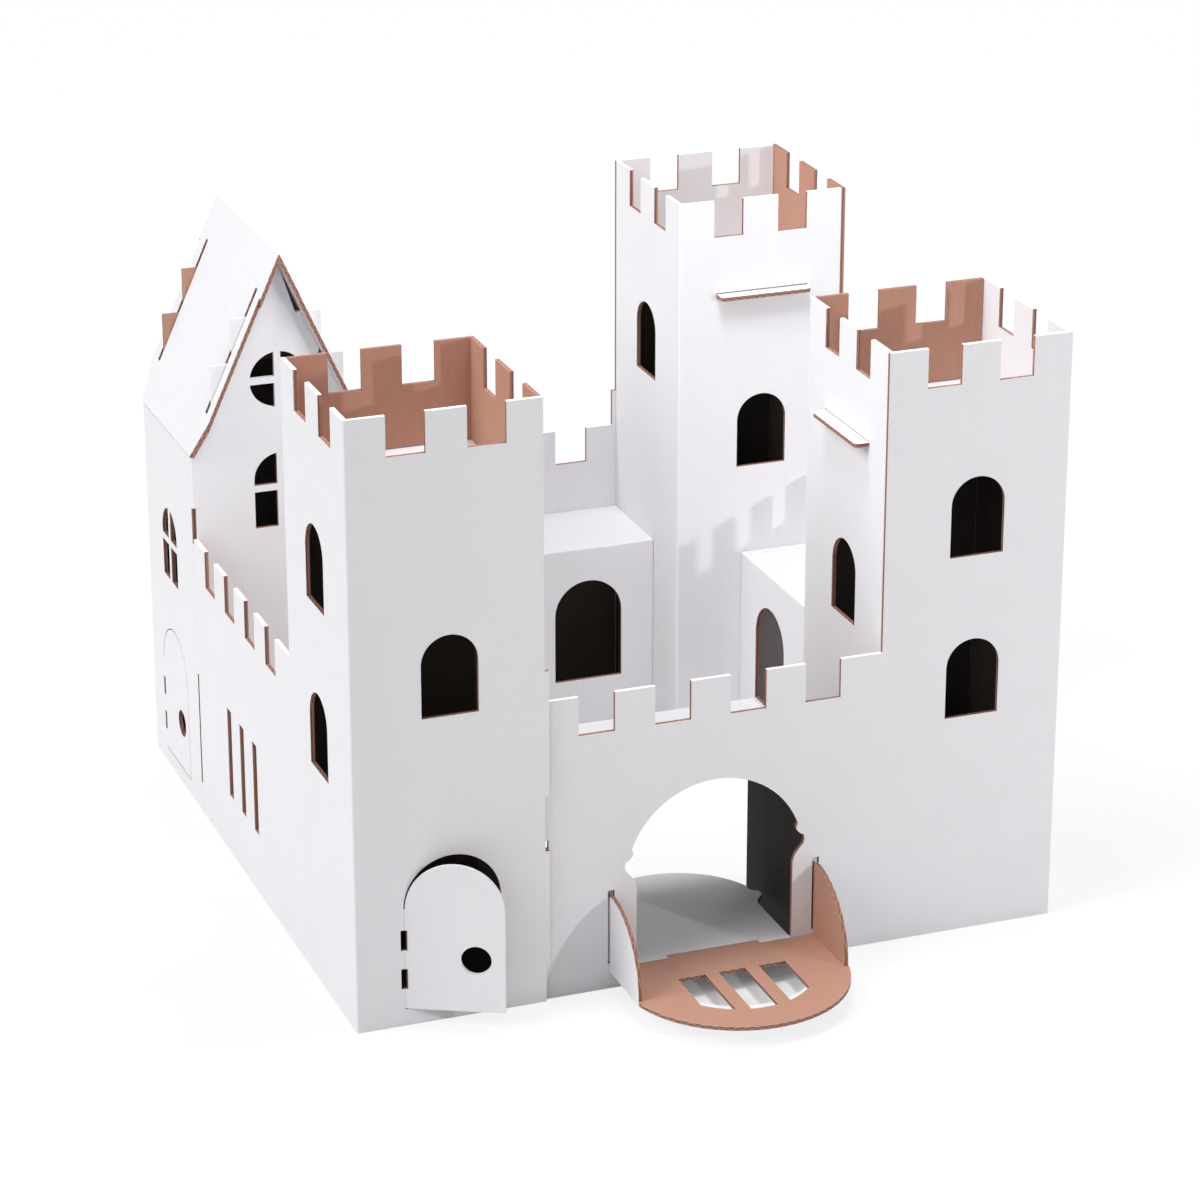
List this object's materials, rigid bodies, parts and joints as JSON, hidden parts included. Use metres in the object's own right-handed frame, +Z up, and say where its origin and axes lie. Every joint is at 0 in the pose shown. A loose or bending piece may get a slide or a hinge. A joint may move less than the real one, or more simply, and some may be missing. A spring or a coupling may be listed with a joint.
{
  "type": "cardboard play castle",
  "caption": "White corrugated cardboard play castle of folded sheets: crenellated towers, gate with drawbridge, and a house whose crow-stepped gables slot up through its roof.",
  "frame": {"origin": "on the ground at the near bottom corner of tower 1, the front left tower", "axes": "+X right along the gate front, +Y back from the gate, +Z up"},
  "size_m": [0.5058, 0.632, 0.425],
  "materials": {
    "board": "matte"
  },
  "bodies": {
    "root": {"left_wall": "board", "tower_1_inner": "board", "front_wall": "board", "tower_2_inner": "board", "right_wall": "board", "keep_front": "board", "keep_right": "board", "back_wall": "board", "house": "board", "roof": "board", "hall": "board", "passage": "board", "gate_lining": "board", "drawbridge": "board", "deck_1": "board", "deck_2": "board", "deck_3": "board"}
  },
  "joints": []
}
